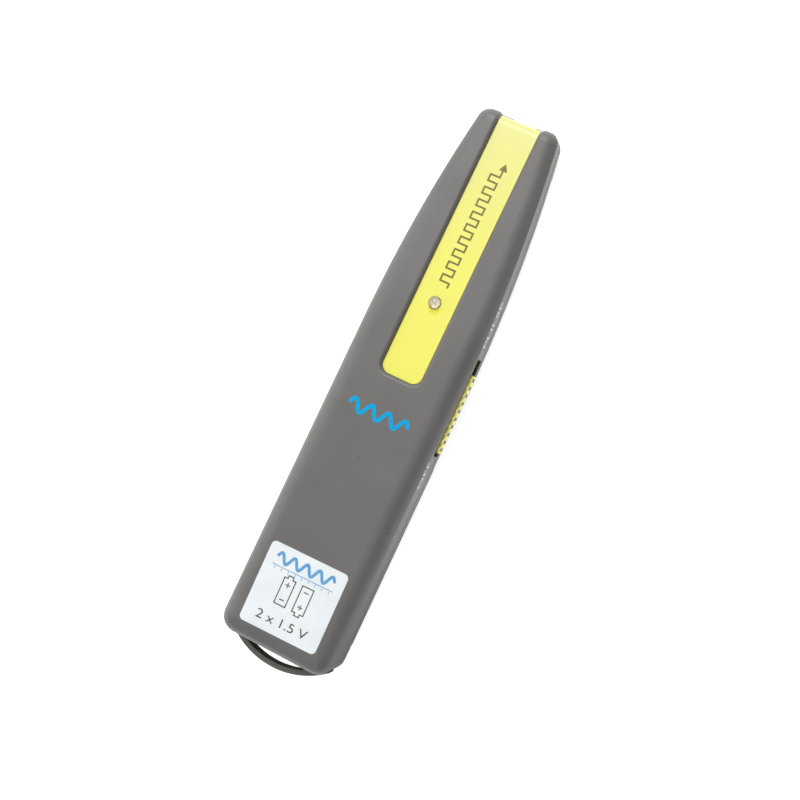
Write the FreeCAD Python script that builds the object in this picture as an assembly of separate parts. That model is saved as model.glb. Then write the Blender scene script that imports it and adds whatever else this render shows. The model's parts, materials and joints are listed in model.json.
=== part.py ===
import FreeCAD, Part
import math
import os

# Pocket fibre optic tester, lying on its back: front face up, nose towards +Y, switch on the +X side.
# All lengths are in millimetres. The origin is on the back face, at the middle of the housing's length.

V = FreeCAD.Vector

# Housing
body_length = 141.0
body_width = 30.0
nose_width = 19.9
body_thickness = 19.1      # at the tail
front_fall = 5.6           # the front face falls this much from the tail to the nose
nose_drop = 0.8            # and this much more where it bends down to the nose
taper_from_switch = 3.8    # the sides draw in from this far past the middle of the switch slot
crown_from_taper = 5.0     # the front face bends down from this far past that
parting_height = 7.2
front_radius = 4.5
back_radius = 5.0
nose_radius = 3.4
edge_start = 0.2           # the rounded front edge aims this far outside the side wall, which trims it
edge_spread = 1.0          # and this much further at the nose, where the crease between them is sharp
edge_delay = 12.0          # from where the sides draw in to where the rounded edge follows them
tail_corner_radius = 4.0
wall = 1.8
rib = 1.4
fit = 0.1                  # gap between pieces that are pushed together
slide_gap = 0.6            # gap round pieces that move
weld = 0.4                 # ribs and bosses run this far into the wall that carries them

# Locating lip along the parting line
lip_height = 1.0
lip_thickness = 0.8
lip_root = 1.2
shadow_line = 0.3          # width and depth of the groove that hides the joint

# Inlay strip and its slot
strip_width = 10.4
strip_before_led = 19.9    # from the end of the strip to the lamp
strip_corner = 2.3
strip_thickness = 0.8
strip_recess = 1.0
strip_lip = 1.0            # radius of the slot's edge
strip_bed = 1.0            # wall left under the strip
strip_nose = 0.35          # the strip is thicker by this much at its bend over the nose

# Indicator lamp
led_from_board_end = 8.2
led_diameter = 3.0
led_rim_diameter = 3.8
led_rim_height = 1.0
led_height = 5.3
led_proud = 1.5
led_lead = 0.5
led_lead_pitch = 2.54
led_lead_tail = 1.6

# Slide switch on the side
slot_length = 25.5
switch_from_bay = 15.6     # from the battery bay to the middle of the slot
slot_top = 11.9
slot_corner = 0.6
knob_length = 20.3
knob_rest_gap = 1.15       # from the tail end of the slot to the knob at rest
knob_proud = 0.75
knob_top_gap = 0.4
knob_foot_gap = 0.3
knob_ribs = 10
knob_groove = 0.9
knob_groove_depth = 0.5
knob_edge = 0.3
knob_plate = 1.0
plate_overlap = 0.1
plate_lip = 0.3            # the plate stands this far above the slot
switch_travel = 4.0
lever_width = 2.0
lever_height = 1.4
switch_case_length = 12.0
switch_case_width = 5.0
switch_case_height = 4.4
switch_case_wall = 0.5
switch_case_gap = 1.6      # from the knob's plate to the switch's case
fork_prong = 1.2

# Circuit board and what stands on it
board_thickness = 1.2
board_height = 6.2
board_edge_gap = 0.4
board_post = 1.7
chip_length = 5.0
chip_width = 4.0
chip_height = 1.5
chip_pin = 0.4
chip_pin_reach = 1.0
chip_pin_pitch = 1.27
chip_pins_a_side = 4
resistor_length = 2.0
resistor_width = 1.25
resistor_height = 0.6
resistor_pitch = 3.0
resistor_count = 3
capacitor_diameter = 4.0
capacitor_height = 5.4

# Cells, contacts and battery cover
cell_diameter = 10.4
cell_length = 44.5
cell_nub_diameter = 3.8
cell_nub_height = 0.9
cell_gap = 0.6
cell_clear = 0.5
cradle_shares = (0.3, 0.7)  # places of the ribs over the cells, as shares of the bay
contact_thickness = 0.4
contact_width = 7.0
contact_bow = 3.2
contact_bow_height = 3.6
tag_width = 2.4
tag_reach = 1.6
tail_block = 7.6           # from the tail end to the battery bay
cover_thickness = 1.6
cover_wrap = 3.4           # height of the cover's sides
cover_proud = 0.2
cover_gap = 0.4
cover_tab_length = 1.8
cover_tab_width = 3.6
cover_tab_thickness = 1.2
cover_grip_ribs = 6
cover_grip_pitch = 1.8
cover_grip_width = 12.0
cover_grip_depth = 0.5
cover_grip_from_end = 4.0
rail_depth = 1.0           # the bay's side rails are thicker than the wall by this much

# Screws
screw_side_gap = 0.33      # from a screw boss at the nose to the side wall
screw_from_nose = 32.4
screw_diameter = 2.0
screw_head_diameter = 4.2
screw_head_height = 1.6
screw_length = 8.5
screw_seat = 2.8
boss_diameter = 6.2
cross_slot = 0.6
cross_depth = 0.8

# Light source behind the port
ferrule_diameter = 2.5
ferrule_fit = 0.02
port_height = 6.0
collar_diameter = 5.6
collar_recess = 0.3
collar_bevel = 0.6
flange_diameter = 7.2
flange_thickness = 1.6
spigot_diameter = 5.9
spigot_length = 6.0
port_lip = 2.0
sleeve_diameter = 3.2
barrel_diameter = 7.4
barrel_length = 26.0
barrel_ledge = 1.0
barrel_ledge_bore = 4.4
barrel_bore = 5.7
turned_fit = 0.05          # radial gap between turned pieces
lens_thickness = 2.0
lens_crown = 0.8
diode_base_thickness = 1.2
diode_can_diameter = 4.2
diode_can_length = 2.4
spacer_wall = 0.6
pin_diameter = 0.45
pin_length = 5.0
pin_circle = 1.27
wire_diameter = 1.0
wire_room = 10.0
wire_rise = 0.7
wire_lap = 4.0
bend_share = 0.45          # of the shorter run that a bend in a wire takes up
saddle_half_width = 6.0
saddle_inset = 5.0

# Strap loop at the tail
loop_reach = 4.8
loop_half_span = 13.3
loop_thickness = 1.45
loop_bottom = 6.4
loop_top = 10.0
loop_edge = 0.3
loop_end = 0.6             # the loop runs on this far past its span, along the tail corners
loop_foot = 1.6
loop_foot_height = 2.2
loop_foot_inset = 3.8      # from the end of the span to the middle of a foot
loop_head = 0.5            # the foot's head is wider than the foot by this much on each side
loop_head_length = 1.2
loop_relief = 0.95         # depth of the hollow in the tail behind the loop
loop_relief_half = 7.6
loop_relief_room = 1.0     # above and below the loop

# Sticker on the front
label_width = 20.7
label_length = 20.6
label_corner = 1.2
label_thickness = 0.12
label_from_tail = 14.85
label_turn = 1.15

tail = -body_length / 2
nose = body_length / 2
least_radius = 0.3
margin = 2.0
touch = 1e-3

# Along the body: the bay and the switch go with the tail, the light source, lamp and strip with the nose.
strip_floor = strip_recess + strip_thickness
bed_depth = strip_floor + strip_bed
bay_start = tail + tail_block
bay_length = cell_length + contact_bow + 2 * contact_thickness
bay_end = bay_start + bay_length
slot_centre = bay_end + switch_from_bay
slot_start = slot_centre - slot_length / 2
slot_stop = slot_centre + slot_length / 2
taper_start = slot_centre + taper_from_switch
crown_start = taper_start + crown_from_taper
flange_front = nose - bed_depth
barrel_front = flange_front - flange_thickness
barrel_back = barrel_front - barrel_length
board_start = bay_end + rib + boss_diameter + 2 * cover_gap
board_end = barrel_back - wire_room
led_y = board_end - led_from_board_end
strip_end = led_y - strip_before_led
screw_rows = (bay_end + rib + boss_diameter / 2 + cover_gap, nose - screw_from_nose)
saddles = (barrel_front - saddle_inset, barrel_back + saddle_inset)

# The sides and the front face draw in on arcs that are tangent to the straight part of the housing.
side_in = (body_width - nose_width) / 2
side_sweep = ((nose - taper_start) ** 2 + side_in ** 2) / (2 * side_in)
edge_in = side_in - edge_spread
edge_from = taper_start + edge_delay
edge_sweep = ((nose - edge_from) ** 2 + edge_in ** 2) / (2 * edge_in)
front_lean = math.atan2(front_fall, body_length)
crown_sweep = ((nose - crown_start) ** 2 + nose_drop ** 2) / (2 * nose_drop)
crown_level = body_thickness - (crown_start - tail) * math.tan(front_lean)
crown_y = crown_start - crown_sweep * math.sin(front_lean)
crown_z = crown_level - crown_sweep * math.cos(front_lean)

# Across the body and up from its back
inner_half = body_width / 2 - wall
bed_half = strip_width / 2 + strip_lip + wall
lip_inset = wall + fit + lip_thickness
cell_x = (cell_diameter + cell_gap) / 2
cell_z = cover_thickness + cell_clear + cell_diameter / 2
knob_start = slot_start + knob_rest_gap
knob_middle = knob_start + knob_length / 2
knob_bottom = parting_height + knob_foot_gap
knob_top = slot_top - knob_top_gap
plate_outer = inner_half - slide_gap
plate_inner = plate_outer - knob_plate
plate_start = slot_start - plate_overlap - switch_travel
plate_stop = slot_stop + plate_overlap
board_top = board_height + board_thickness
case_outer = plate_inner - switch_case_gap
case_inner = case_outer - switch_case_width
lever_middle = board_top + switch_case_height / 2


def box(x0, x1, y0, y1, z0, z1):
    return Part.makeBox(x1 - x0, y1 - y0, z1 - z0, V(x0, y0, z0))


def rod_y(diameter, y0, y1, x=0.0, z=0.0):
    return Part.makeCylinder(diameter / 2, y1 - y0, V(x, y0, z), V(0, 1, 0))


def rod_z(diameter, z0, z1, x=0.0, y=0.0):
    return Part.makeCylinder(diameter / 2, z1 - z0, V(x, y, z0), V(0, 0, 1))


def polygon(points):
    return Part.Face(Part.makePolygon([V(*p) for p in points] + [V(*points[0])]))


def turned_y(profile, x=0.0, z=0.0):
    # A solid of revolution about a line along Y, from (radius, y) points.
    face = polygon([(x + radius, y, z) for radius, y in profile])
    return face.revolve(V(x, 0, z), V(0, 1, 0), 360)


def joined(shapes):
    first = shapes[0]
    return first.fuse(shapes[1:]).removeSplitter() if len(shapes) > 1 else first


def arc(a, b, c):
    return Part.Arc(V(*a), V(*b), V(*c)).toShape()


def line(a, b):
    return Part.LineSegment(V(*a), V(*b)).toShape()


def side_half(y, inset, start=taper_start, sweep=side_sweep):
    return body_width / 2 - sweep + math.sqrt((sweep - inset) ** 2 - (y - start) ** 2)


boss_edge = min(side_half(screw_rows[1], wall) - screw_side_gap, plate_inner - fit)
screw_x = boss_edge - boss_diameter / 2
board_left = -side_half(board_end, lip_inset) + board_edge_gap
board_right = min(plate_inner, -board_left) - board_edge_gap


def crown_from(inset):
    return crown_start - inset * math.sin(front_lean)


def front_at(y, inset):
    # Height of the front face, drawn in by inset: straight from the tail, then on an arc down to the nose.
    if y <= crown_from(inset):
        return body_thickness - (y - tail) * math.tan(front_lean) - inset / math.cos(front_lean)
    return crown_z + math.sqrt((crown_sweep - inset) ** 2 - (y - crown_y) ** 2)


def plan_form(inset, spread, start, sweep):
    # A column of the outline seen from the front: straight sides, rounded tail corners and a nose that the
    # sides sweep in to. The sides and the tail lie outside the housing's own by the spread.
    side = inset - spread
    half = body_width / 2 - side
    low, high = tail + side, nose - inset
    corner = max(tail_corner_radius - side, least_radius)
    bow = corner * (1 - math.sqrt(0.5))
    middle = (start + high) / 2
    waist, end = side_half(middle, side, start, sweep), side_half(high, side, start, sweep)
    edges = []
    for s in (1, -1):
        edges.append(line((s * half, low + corner, 0), (s * half, start, 0)))
        edges.append(arc((s * half, start, 0), (s * waist, middle, 0), (s * end, high, 0)))
        edges.append(arc((s * half, low + corner, 0), (s * (half - bow), low + bow, 0),
                         (s * (half - corner), low, 0)))
    edges.append(line((end, high, 0), (-end, high, 0)))
    edges.append(line((half - corner, low, 0), (-(half - corner), low, 0)))
    return Part.Face(Part.Wire(Part.__sortEdges__(edges))).extrude(V(0, 0, body_thickness + margin))


def nose_edges(form, inset):
    return [e for e in form.Edges if e.BoundBox.YMin > nose - inset - touch]


def side_face(inset):
    # Outline seen from the side: a flat back and a front that falls towards the nose.
    low, high = tail - margin, nose + margin
    bend = crown_from(inset)
    middle = (bend + high) / 2
    tail_top = (0, low, front_at(low, inset))
    bend_top = (0, bend, front_at(bend, inset))
    nose_top = (0, high, front_at(high, inset))
    edges = [line((0, low, inset), (0, high, inset)),
             line((0, high, inset), nose_top),
             arc(nose_top, (0, middle, front_at(middle, inset)), bend_top),
             line(bend_top, tail_top),
             line(tail_top, (0, low, inset))]
    return Part.Face(Part.Wire(edges))


def rim(form, inset, front):
    # The long edges round the front or back face, without the nose end.
    found = []
    for edge in form.Edges:
        b = edge.BoundBox
        level = b.ZMin > parting_height if front else b.ZMax < parting_height
        across = b.YLength < touch and b.YMin > tail + inset + touch
        if level and not across:
            found.append(edge)
    return found


def rounded_form(inset, spread, start, sweep):
    width = body_width + 2 * margin
    side = side_face(inset).extrude(V(width, 0, 0))
    side.translate(V(-width / 2, 0, 0))
    form = plan_form(inset, spread, start, sweep).common(side)
    form = form.makeFillet(max(front_radius - inset, least_radius), rim(form, inset, True))
    form = form.makeFillet(max(back_radius - inset, least_radius), rim(form, inset, False))
    return form.makeFillet(max(nose_radius - inset, least_radius), nose_edges(form, inset))


def half_space(low, high):
    return box(-body_width, body_width, tail - margin, nose + margin, low, high)


front_half = half_space(parting_height, body_thickness + margin)
back_half = half_space(-margin, parting_height)


def body_form(inset):
    # The housing's outer form, drawn in by inset on every side. The back edge runs smoothly into the side
    # walls. The front edge is rounded on a wider form, which the walls trim.
    walls = plan_form(inset, 0, taper_start, side_sweep)
    upright = [e for e in nose_edges(walls, inset) if e.BoundBox.ZLength > touch]
    walls = walls.makeFillet(max(nose_radius - inset, least_radius), upright)
    front = rounded_form(inset, edge_start, edge_from, edge_sweep).common(walls).common(front_half)
    back = rounded_form(inset, 0, taper_start, side_sweep).common(back_half)
    return joined([front, back])


def slot_plan(half, end, corner, low):
    # A tongue-shaped column that is open at the nose.
    column = box(-half, half, end, nose + margin, low, body_thickness + margin)
    corners = [e for e in column.Edges if e.BoundBox.ZLength > touch and e.BoundBox.YMax < end + touch
               and e.BoundBox.XLength < touch]
    return column.makeFillet(corner, corners)


outer = body_form(0)
cavity = body_form(wall)
fill = body_form(wall - weld)


def port_hole():
    return rod_y(collar_diameter + 2 * fit, barrel_front, nose + margin, 0, port_height)


def joint_groove():
    return outer.cut(body_form(shadow_line)).common(half_space(parting_height, parting_height + shadow_line))


def saddle(y):
    return box(-saddle_half_width, saddle_half_width, y - rib / 2, y + rib / 2, 0, body_thickness)


def barrel_room():
    return rod_y(barrel_diameter + 2 * fit, barrel_back - margin, barrel_front, 0, port_height)


def cell_room():
    return [rod_y(cell_diameter + 2 * fit, bay_start, bay_end, s * cell_x, cell_z) for s in (-1, 1)]


def cell_cradle(y):
    half = 2 * cell_x
    return box(-half, half, y - rib / 2, y + rib / 2, cell_z + cell_diameter / 4, body_thickness)


def strip_column(gap, low):
    return slot_plan(strip_width / 2 + gap, strip_end - gap, strip_corner + gap, low)


def front_shell():
    shell = outer.cut(cavity)
    bed = fill.cut(body_form(bed_depth)).common(
        box(-bed_half, bed_half, strip_end - strip_lip - wall, nose, parting_height, body_thickness))
    ribs = [saddle(y) for y in saddles]
    ribs += [cell_cradle(bay_start + bay_length * share) for share in cradle_shares]
    bosses = [rod_z(boss_diameter, parting_height, body_thickness, s * screw_x, y)
              for s in (-1, 1) for y in screw_rows]
    posts = [rod_z(2 * board_post, board_top, body_thickness, x, y) for x, y in board_posts(True)]
    inside = [piece.common(fill) for piece in ribs + bosses + posts]
    shell = joined([shell, bed] + inside).common(front_half)
    cuts = [barrel_room(), port_hole(), joint_groove(), strap_hollow()] + cell_room()
    cuts += [foot(s, fit, parting_height - margin) for s in (-1, 1)]
    cuts += [rod_z(screw_diameter + 2 * ferrule_fit, parting_height, screw_seat + screw_length + fit,
                   s * screw_x, y) for s in (-1, 1) for y in screw_rows]
    cuts.append(rod_z(led_diameter + 2 * fit, board_top, body_thickness + margin, 0, led_y))
    shell = shell.cut(cuts)
    slot = strip_column(fit, parting_height - margin).cut(body_form(strip_floor))
    shell = shell.cut(slot)
    shell = rounded_lips(shell)
    return shell.cut(switch_slot())


def rounded_lips(shell):
    # The edge is rounded along both sides, round the end and over the nose of the strip's slot.
    half = strip_width / 2 + fit
    lips = []
    for edge in shell.Edges:
        b = edge.BoundBox
        middle = edge.valueAt((edge.FirstParameter + edge.LastParameter) / 2)
        in_plan = b.XMin > -half - touch and b.XMax < half + touch and b.YMin > strip_end - fit - touch
        on_skin = Part.Vertex(middle).distToShape(outer_skin)[0] < touch
        ends = [Part.Vertex(v.Point).distToShape(outer_skin)[0] < touch for v in edge.Vertexes]
        if in_plan and on_skin and all(ends) and b.ZMax > parting_height + touch:
            if abs(middle.x) > collar_diameter / 2 + fit + touch or middle.y < nose - nose_radius:
                lips.append(edge)
    return shell.makeFillet(strip_lip, lips)


outer_skin = Part.Shell(outer.Faces)


def switch_slot():
    low = parting_height - margin
    hole = box(plate_inner, body_width, slot_start, slot_stop, low, slot_top)
    corners = [e for e in hole.Edges if e.BoundBox.XLength > touch and e.BoundBox.ZMin > slot_top - touch]
    return hole.makeFillet(slot_corner, corners)


def board_posts(left_only):
    left = board_left + 2 * board_post
    right = case_inner - board_post - fit
    rows = (board_start + 2 * board_post, board_end - 2 * board_post)
    return [(x, y) for x in ([left] if left_only else [left, right]) for y in rows]


def lip():
    # A tongue on the back half that stands inside the front half's wall.
    low, high = parting_height - lip_root, parting_height + lip_height
    root = fill.cut(body_form(lip_inset)).common(half_space(low, parting_height))
    tongue = body_form(wall + fit).cut(body_form(lip_inset))
    ring = joined([root, tongue.common(half_space(parting_height - touch, high))])
    gaps = [box(plate_inner - slide_gap, body_width, plate_start - slide_gap,
                plate_stop + switch_travel + slide_gap, low, high),
            box(-bed_half - fit, bed_half + fit, nose - bed_depth - margin, nose, low, high)]
    gaps += [rod_z(boss_diameter + 2 * fit, low, high, s * screw_x, y) for s in (-1, 1) for y in screw_rows]
    return ring.cut(gaps)


def cover_bay(gap, low):
    return box(-body_width, body_width, bay_start + cover_gap - gap, bay_end - cover_gap + gap, low,
               cover_wrap + gap)


def back_shell():
    shell = outer.cut(cavity)
    walls = [box(-body_width, body_width, bay_start - rib, bay_start, 0, parting_height),
             box(-body_width, body_width, bay_end, bay_end + rib, 0, parting_height)]
    walls += [saddle(y).common(back_half) for y in saddles]
    rails = body_form(wall - weld).cut(body_form(wall + rail_depth)).common(
        box(-body_width, body_width, bay_start - rib, bay_end + rib, cover_wrap, parting_height))
    bosses = [rod_z(boss_diameter, 0, parting_height, s * screw_x, y) for s in (-1, 1) for y in screw_rows]
    posts = [rod_z(2 * board_post, 0, board_height, x, y) for x, y in board_posts(False)]
    inside = [piece.common(fill) for piece in walls + bosses + posts]
    shell = joined([shell, rails, lip()] + inside)
    shell = shell.common(half_space(-margin, parting_height + lip_height))
    above = outer.cut(body_form(wall + fit)).common(front_half)
    cuts = [above, cover_bay(cover_gap, -margin), barrel_room(), port_hole(), tab_room()]
    cuts += [strap_hollow()] + cell_room() + [foot(s, fit, parting_height) for s in (-1, 1)]
    for s in (-1, 1):
        for y in screw_rows:
            cuts.append(rod_z(screw_diameter + 2 * fit, -margin, parting_height + lip_height, s * screw_x, y))
            cuts.append(rod_z(screw_head_diameter + 2 * fit, -margin, screw_seat, s * screw_x, y))
    return shell.cut(cuts)


def tab_room():
    # The cover's tab swings up and out through this window in the bay's wall.
    half = cover_tab_width / 2 + slide_gap
    return box(-half, half, bay_end - margin, bay_end + rib + margin, wall,
               wall + rib + cover_tab_length + slide_gap)


def battery_cover():
    half = body_width / 2 + cover_proud
    radius = back_radius + cover_proud
    y0, y1 = bay_start + cover_gap, bay_end - cover_gap
    trough = box(-half, half, y0, y1, 0, cover_wrap + back_radius)
    low = [e for e in trough.Edges if e.BoundBox.YLength > touch and e.BoundBox.ZMax < touch]
    trough = trough.makeFillet(radius, low)
    hollow = box(-half + cover_thickness, half - cover_thickness, y0 - margin, y1 + margin, cover_thickness,
                 body_thickness)
    floor = cover_thickness + touch
    low = [e for e in hollow.Edges if e.BoundBox.YLength > touch and e.BoundBox.ZMax < floor]
    hollow = hollow.makeFillet(radius - cover_thickness, low)
    skin = trough.cut(hollow).common(half_space(-margin, cover_wrap))
    half = cover_tab_width / 2
    low = wall + fit
    tab = box(-half, half, y1 - 2 * rib, bay_end + cover_tab_length, low, low + cover_tab_thickness)
    root = box(-half, half, y1 - 2 * rib, y1, cover_thickness - touch, low + cover_tab_thickness)
    grooves = []
    for i in range(cover_grip_ribs):
        y = y0 + cover_grip_from_end + i * cover_grip_pitch
        grooves.append(rod_x(cover_grip_depth * 2, -cover_grip_width / 2, cover_grip_width / 2, y, 0))
    return joined([skin, root, tab]).cut(grooves)


def rod_x(diameter, x0, x1, y, z):
    return Part.makeCylinder(diameter / 2, x1 - x0, V(x0, y, z), V(1, 0, 0))


def accent_strip():
    column = strip_column(0, parting_height + fit)
    skin = body_form(strip_recess)
    skin.translate(V(0, strip_nose, 0))
    strip = column.common(skin).cut(body_form(strip_floor))
    return strip.cut([port_hole(), rod_z(led_diameter + 2 * fit, 0, body_thickness, 0, led_y)])


def indicator_led():
    top = front_at(led_y, strip_recess) + led_proud
    radius = led_diameter / 2
    base = top - led_height
    edges = [line((0, 0, base), (led_rim_diameter / 2, 0, base)),
             line((led_rim_diameter / 2, 0, base), (led_rim_diameter / 2, 0, base + led_rim_height)),
             line((led_rim_diameter / 2, 0, base + led_rim_height), (radius, 0, base + led_rim_height)),
             line((radius, 0, base + led_rim_height), (radius, 0, top - radius)),
             arc((radius, 0, top - radius), (radius * math.sqrt(0.5), 0, top - radius * (1 - math.sqrt(0.5))),
                 (0, 0, top)),
             line((0, 0, top), (0, 0, base))]
    lamp = Part.Face(Part.Wire(edges)).revolve(V(0, 0, 0), V(0, 0, 1), 360)
    lamp.translate(V(0, led_y, 0))
    return lamp


def lead_spots():
    return [led_y + s * led_lead_pitch / 2 for s in (-1, 1)]


def led_leads():
    base = front_at(led_y, strip_recess) + led_proud - led_height
    low = board_height - led_lead_tail
    half = led_lead / 2
    return Part.makeCompound([box(-half, half, y - half, y + half, low, base) for y in lead_spots()])


def switch_knob():
    outside = body_width / 2 + knob_proud
    block = box(plate_inner, outside, knob_start, knob_start + knob_length, knob_bottom, knob_top)
    edges = [e for e in block.Edges if e.BoundBox.XMin > outside - touch]
    block = block.makeFillet(knob_edge, edges)
    plate = box(plate_inner, plate_outer, plate_start, plate_stop, parting_height + fit,
                slot_top + plate_lip)
    low_x = case_outer + fit
    prong_low = lever_middle - lever_height
    prong_high = lever_middle + lever_height
    prongs = []
    for s in (-1, 1):
        near = knob_middle + s * (lever_width / 2 + turned_fit)
        far = near + s * fork_prong
        prongs.append(box(low_x, plate_inner + touch, min(near, far), max(near, far), prong_low, prong_high))
    grooves = []
    pitch = knob_length / knob_ribs
    for i in range(knob_ribs):
        y = knob_start + (i + 0.5) * pitch
        grooves.append(box(outside - knob_groove_depth, outside + margin, y - knob_groove / 2,
                           y + knob_groove / 2, 0, body_thickness))
    return joined([block, plate] + prongs).cut(grooves)


def lever_slot(gap):
    return box(case_outer - 2 * switch_case_wall, case_outer + margin,
               knob_middle - lever_width / 2 - gap, knob_middle + lever_width / 2 + switch_travel + gap,
               lever_middle - lever_height / 2 - gap, lever_middle + lever_height / 2 + gap)


def case_middle():
    return knob_middle + switch_travel / 2


def switch_body():
    y0 = case_middle() - switch_case_length / 2
    y1 = case_middle() + switch_case_length / 2
    case = box(case_inner, case_outer, y0, y1, board_top, board_top + switch_case_height)
    room = box(case_inner + switch_case_wall, case_outer - switch_case_wall, y0 + switch_case_wall,
               y1 - switch_case_wall, board_top + switch_case_wall,
               board_top + switch_case_height - switch_case_wall)
    return case.cut([room, lever_slot(fit)])


def switch_lever():
    half = lever_width / 2
    stem = box(case_outer - 2 * switch_case_wall, plate_inner - fit, knob_middle - half, knob_middle + half,
               lever_middle - lever_height / 2, lever_middle + lever_height / 2)
    shoe = box(case_inner + switch_case_wall + fit, case_outer - switch_case_wall - fit, knob_middle - half,
               knob_middle + half, board_top + switch_case_wall + fit,
               board_top + switch_case_height - switch_case_wall - fit)
    return joined([stem, shoe])


def switch_pin_spots():
    x = (case_inner + case_outer) / 2
    return [(x, case_middle() + i * led_lead_pitch) for i in (-1, 0, 1)]


def switch_pins():
    half = led_lead / 2
    return Part.makeCompound([box(x - half, x + half, y - half, y + half, board_height - led_lead_tail,
                                  board_top) for x, y in switch_pin_spots()])


def circuit_board():
    board = box(board_left, board_right, board_start, board_end, board_height, board_top)
    holes = [rod_z(led_lead * 2, 0, body_thickness, 0, y) for y in lead_spots()]
    holes += [rod_z(led_lead * 2, 0, body_thickness, x, y) for x, y in switch_pin_spots()]
    return board.cut(holes)


def chip_place():
    return -(chip_width / 2 + 2 * chip_pin_reach), case_middle()


def driver_chip():
    x, y = chip_place()
    low = board_top + chip_pin / 2
    body = box(x - chip_width / 2, x + chip_width / 2, y - chip_length / 2, y + chip_length / 2, low,
               low + chip_height)
    top = [e for e in body.Edges if e.BoundBox.ZMin > low + chip_height - touch]
    return body.makeChamfer(chip_pin / 2, top)


def chip_pins():
    x, y = chip_place()
    low = board_top
    pins = []
    for s in (-1, 1):
        near = x + s * chip_width / 2
        far = near + s * chip_pin_reach
        for i in range(chip_pins_a_side):
            middle = y + (i - (chip_pins_a_side - 1) / 2) * chip_pin_pitch
            pins.append(box(min(near, far), max(near, far), middle - chip_pin / 2, middle + chip_pin / 2,
                            low, low + 2 * chip_pin))
    return Part.makeCompound(pins)


def resistors():
    x, y = chip_place()
    start = y + chip_length / 2 + resistor_pitch
    pieces = []
    for i in range(resistor_count):
        low = start + i * resistor_pitch
        pieces.append(box(x - resistor_length / 2, x + resistor_length / 2, low, low + resistor_width,
                          board_top, board_top + resistor_height))
    return Part.makeCompound(pieces)


def capacitor():
    x = board_left + board_edge_gap + capacitor_diameter / 2
    y = chip_place()[1] + chip_length / 2 + board_edge_gap + capacitor_diameter / 2
    can = rod_z(capacitor_diameter, board_top, board_top + capacitor_height, x, y)
    return can.makeFillet(least_radius, [e for e in can.Edges if e.BoundBox.ZMin > board_top + touch])


def battery_cell(side):
    # The right cell points its nub at the nose, the left one at the tail.
    radius = cell_diameter / 2
    nub = cell_nub_diameter / 2
    shoulder = cell_length - cell_nub_height
    profile = [(0, 0), (radius - least_radius, 0), (radius, least_radius), (radius, shoulder - least_radius),
               (radius - least_radius, shoulder), (nub, shoulder), (nub, cell_length), (0, cell_length)]
    if side > 0:
        end = bay_end - contact_thickness
        return turned_y([(r, end - cell_length + y) for r, y in profile], cell_x, cell_z)
    end = bay_start + contact_thickness
    return turned_y([(r, end + cell_length - y) for r, y in profile], -cell_x, cell_z)


def contact_plate(x, y, way):
    half = contact_width / 2
    y0, y1 = sorted((y, y + way * contact_thickness))
    return box(x - half, x + half, y0, y1, cell_z - half, cell_z + half)


def contact_bow_leaf(x, y, way):
    # A bowed leaf that presses on the flat end of a cell.
    y = y + way * contact_thickness
    reach = contact_bow - fit
    high = contact_bow_height
    inner = reach - contact_thickness
    low = high - contact_thickness
    edges = [arc((x, y, cell_z + high), (x, y + way * reach, cell_z), (x, y, cell_z - high)),
             line((x, y, cell_z - high), (x, y, cell_z - low)),
             arc((x, y, cell_z - low), (x, y + way * inner, cell_z), (x, y, cell_z + low)),
             line((x, y, cell_z + low), (x, y, cell_z + high))]
    leaf = Part.Face(Part.Wire(edges)).extrude(V(contact_width / 2, 0, 0))
    leaf.translate(V(-contact_width / 4, 0, 0))
    return leaf


def tag(side):
    # The solder tag lies over the bay's wall and on the board.
    x = side * (screw_x - boss_diameter / 2 - fit - tag_width / 2)
    half = tag_width / 2
    return box(x - half, x + half, bay_end - contact_thickness, board_start + tag_reach, board_top,
               board_top + contact_thickness)


def positive_contact():
    return joined([contact_plate(cell_x, bay_end, -1), tag(1)])


def negative_contact():
    return joined([contact_plate(-cell_x, bay_end, -1), contact_bow_leaf(-cell_x, bay_end, -1), tag(-1)])


def bridge_contact():
    half = contact_width / 2
    bar = box(-cell_x - half, cell_x + half, bay_start, bay_start + contact_thickness, cell_z - half / 2,
              cell_z + half / 2)
    return joined([bar, contact_plate(-cell_x, bay_start, 1), contact_plate(cell_x, bay_start, 1),
                   contact_bow_leaf(cell_x, bay_start, 1)])


def housing_screws():
    screws = []
    radius = screw_diameter / 2
    for s in (-1, 1):
        for y in screw_rows:
            x = s * screw_x
            head = rod_z(screw_head_diameter, screw_seat - screw_head_height, screw_seat, x, y)
            shank = rod_z(2 * radius, screw_seat, screw_seat + screw_length, x, y)
            low = screw_seat - screw_head_height
            arm = screw_head_diameter / 3
            cross = [box(x - arm, x + arm, y - cross_slot / 2, y + cross_slot / 2, low, low + cross_depth),
                     box(x - cross_slot / 2, x + cross_slot / 2, y - arm, y + arm, low, low + cross_depth)]
            screws.append(joined([head, shank]).cut(cross))
    return Part.makeCompound(screws)


def port_adapter():
    front = nose - collar_recess
    mouth = ferrule_diameter / 2 + ferrule_fit
    seat = sleeve_diameter / 2 + turned_fit
    back = barrel_front - spigot_length
    collar = collar_diameter / 2
    profile = [(mouth + collar_bevel / 2, front), (collar - collar_bevel, front),
               (collar, front - collar_bevel),
               (collar, flange_front), (flange_diameter / 2, flange_front),
               (flange_diameter / 2, barrel_front), (spigot_diameter / 2, barrel_front),
               (spigot_diameter / 2, back), (seat, back), (seat, front - port_lip), (mouth, front - port_lip),
               (mouth, front - collar_bevel / 2)]
    return turned_y(profile, 0, port_height)


def ferrule_sleeve():
    back = barrel_front - spigot_length
    front = nose - collar_recess - port_lip - turned_fit
    bore = ferrule_diameter / 2 + ferrule_fit
    return turned_y([(bore, back), (sleeve_diameter / 2, back), (sleeve_diameter / 2, front), (bore, front)],
                    0, port_height)


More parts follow.
